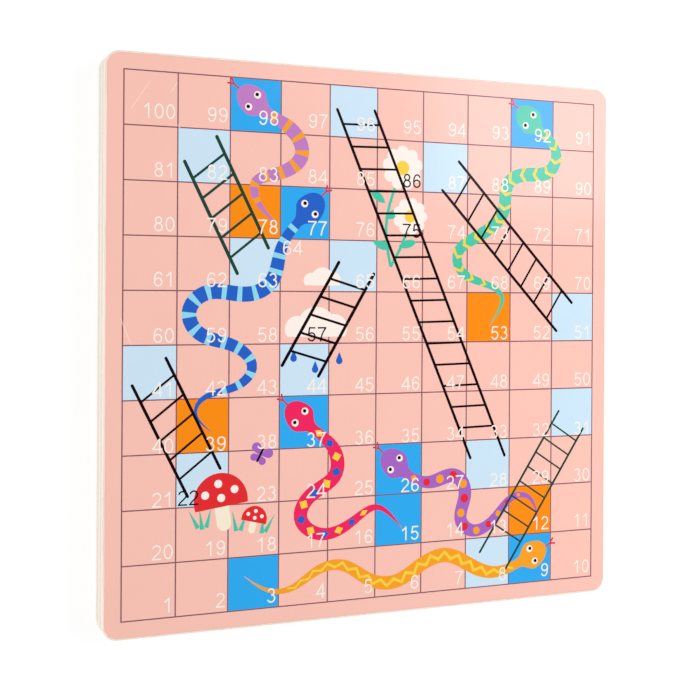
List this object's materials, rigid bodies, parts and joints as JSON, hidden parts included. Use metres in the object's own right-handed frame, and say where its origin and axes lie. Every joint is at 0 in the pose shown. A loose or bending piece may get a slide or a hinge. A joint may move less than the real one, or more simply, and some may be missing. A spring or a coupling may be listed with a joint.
{
  "type": "snakes and ladders board",
  "caption": "Square wooden game board of glued plies with rounded corners, printed on one face with a numbered grid, ladders and snakes.",
  "frame": {"origin": "centre of the board's bare underside, which is the face that it rests on", "axes": "+Z out of the printed face, +X along the first row from square 1 to square 10, +Y from the first row to the last"},
  "size_m": [0.225, 0.225, 0.0142],
  "materials": {
    "face_veneer": "pale close-grained veneer, sanded, clear satin lacquer",
    "crossband_veneer": "pale veneer laid across, seen as end grain, sanded",
    "glue": "cured wood glue, a thin tan film",
    "pink_ground": "salmon pink ink under a satin lacquer",
    "line_ink": "dull maroon ink under a satin lacquer",
    "light_blue_ink": "light blue ink under a satin lacquer",
    "blue_ink": "sky blue ink under a satin lacquer",
    "orange_ink": "bright orange ink under a satin lacquer",
    "black_ink": "near-black ink under a satin lacquer",
    "green_ink": "dark green ink under a satin lacquer",
    "white_ink": "white ink under a satin lacquer",
    "crimson_ink": "crimson ink under a satin lacquer",
    "teal_ink": "teal ink under a satin lacquer",
    "deep_blue_ink": "deep blue ink under a satin lacquer",
    "purple_ink": "purple ink under a satin lacquer",
    "amber_ink": "amber ink under a satin lacquer",
    "mauve_ink": "mauve ink under a satin lacquer",
    "yellow_ink": "yellow ink under a satin lacquer",
    "cyan_ink": "pale cyan ink under a satin lacquer",
    "red_ink": "red ink under a satin lacquer",
    "cream_ink": "cream ink under a satin lacquer"
  },
  "bodies": {
    "root": {"back_veneer": "face_veneer", "back_glue_film": "glue", "back_crossband": "crossband_veneer", "core_back_glue_film": "glue", "core_veneer": "face_veneer", "core_front_glue_film": "glue", "front_crossband": "crossband_veneer", "front_glue_film": "glue", "front_veneer": "face_veneer", "pink_ground_coat": "pink_ground", "grid_line_ink": "line_ink", "light_blue_square_ink": "light_blue_ink", "blue_square_ink": "blue_ink", "orange_square_ink": "orange_ink", "ladder_22_to_41_ink": "black_ink", "ladder_44_to_65_ink": "black_ink", "ladder_28_to_96_ink": "black_ink", "ladder_51_to_87_ink": "black_ink", "ladder_63_to_82_ink": "green_ink", "ladder_8_to_31_ink": "green_ink", "crimson_snake_body_ink": "crimson_ink", "crimson_snake_yellow_diamond_ink": "yellow_ink", "crimson_snake_blue_diamond_ink": "deep_blue_ink", "teal_snake_body_ink": "teal_ink", "teal_snake_chevron_ink": "yellow_ink", "blue_snake_body_ink": "deep_blue_ink", "blue_snake_ring_ink": "cyan_ink", "purple_snake_body_ink": "purple_ink", "purple_snake_orange_spot_ink": "amber_ink", "purple_snake_red_spot_ink": "red_ink", "orange_snake_body_ink": "amber_ink", "orange_snake_zigzag_ink": "yellow_ink", "mauve_snake_body_ink": "mauve_ink", "mauve_snake_ring_ink": "amber_ink", "snake_eye_ink": "white_ink", "snake_pupil_ink": "black_ink", "snake_tongue_ink": "red_ink", "daisy_petal_ink": "white_ink", "daisy_middle_ink": "yellow_ink", "daisy_leaf_ink": "teal_ink", "cloud_ink": "white_ink", "raindrop_ink": "deep_blue_ink", "toadstool_cap_ink": "red_ink", "toadstool_spot_ink": "white_ink", "toadstool_stalk_ink": "cream_ink", "grass_blade_ink": "teal_ink", "butterfly_wing_ink": "purple_ink", "butterfly_body_ink": "black_ink"}
  },
  "joints": []
}
